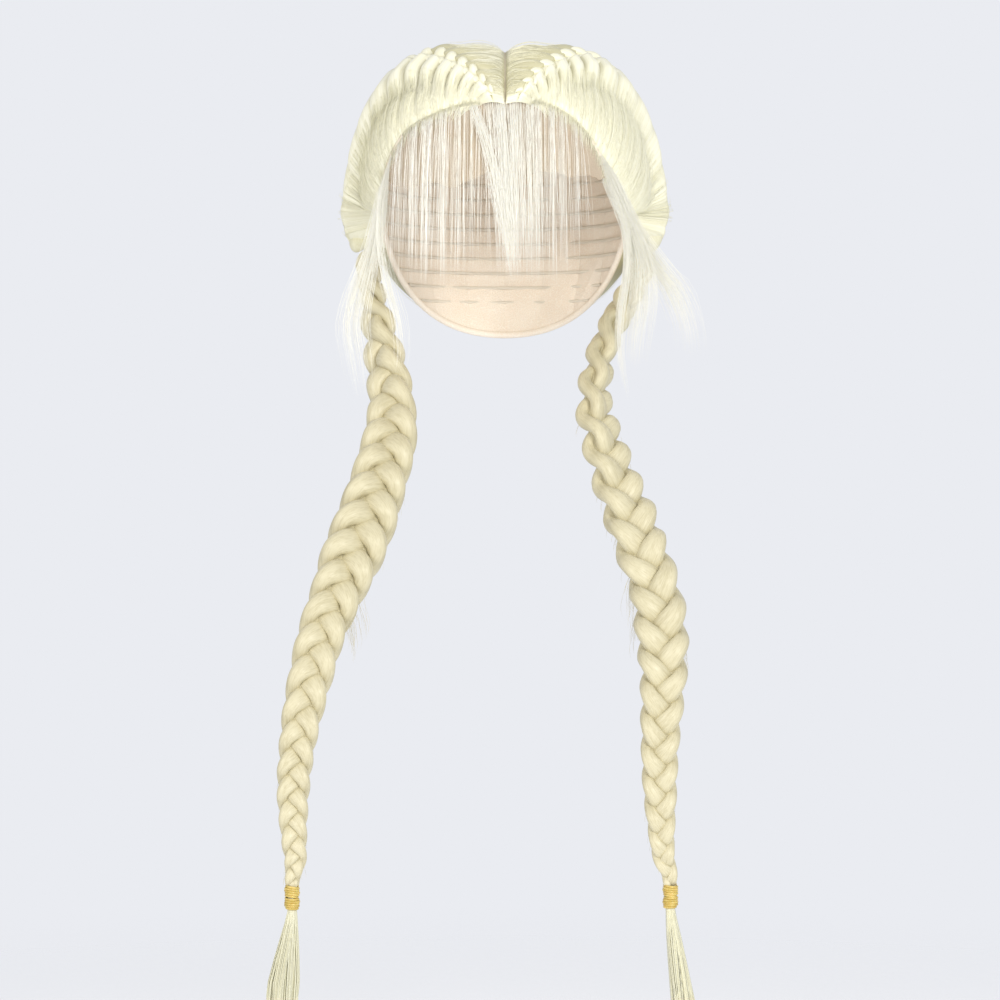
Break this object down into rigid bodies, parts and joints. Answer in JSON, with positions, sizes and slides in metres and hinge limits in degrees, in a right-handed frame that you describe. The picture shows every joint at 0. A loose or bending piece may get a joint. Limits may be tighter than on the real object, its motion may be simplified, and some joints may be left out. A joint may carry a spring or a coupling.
{
  "type": "braid wig",
  "caption": "Blond lace-front wig with a centre parting, two crown braids that hang as long plaits, and a wispy fringe.",
  "frame": {"origin": "crown seat: the highest point inside the cap, where it sits on the top of a head", "axes": "-Z down from the crown to the plaits' ends, -Y towards the face opening, +X to the viewer's right of the face"},
  "size_m": [0.2563, 0.209, 0.6238],
  "materials": {
    "blond_hair": "satin",
    "fringe_hair": "satin",
    "cap_net": "matte",
    "lace": "matte",
    "elastic_rubber": "satin"
  },
  "bodies": {
    "root": {"crown_braid_left": "blond_hair", "crown_braid_right": "blond_hair", "scalp_hair_left": "blond_hair", "scalp_hair_right": "blond_hair", "tail_left": "blond_hair", "tail_right": "blond_hair", "left_braid_strand_1": "blond_hair", "left_braid_strand_2": "blond_hair", "left_braid_strand_3": "blond_hair", "right_braid_strand_1": "blond_hair", "right_braid_strand_2": "blond_hair", "right_braid_strand_3": "blond_hair", "fringe": "fringe_hair", "temple_locks_left": "fringe_hair", "temple_locks_right": "fringe_hair", "net_cap": "cap_net", "lace_front": "lace", "elastic_left": "elastic_rubber", "elastic_right": "elastic_rubber"}
  },
  "joints": []
}
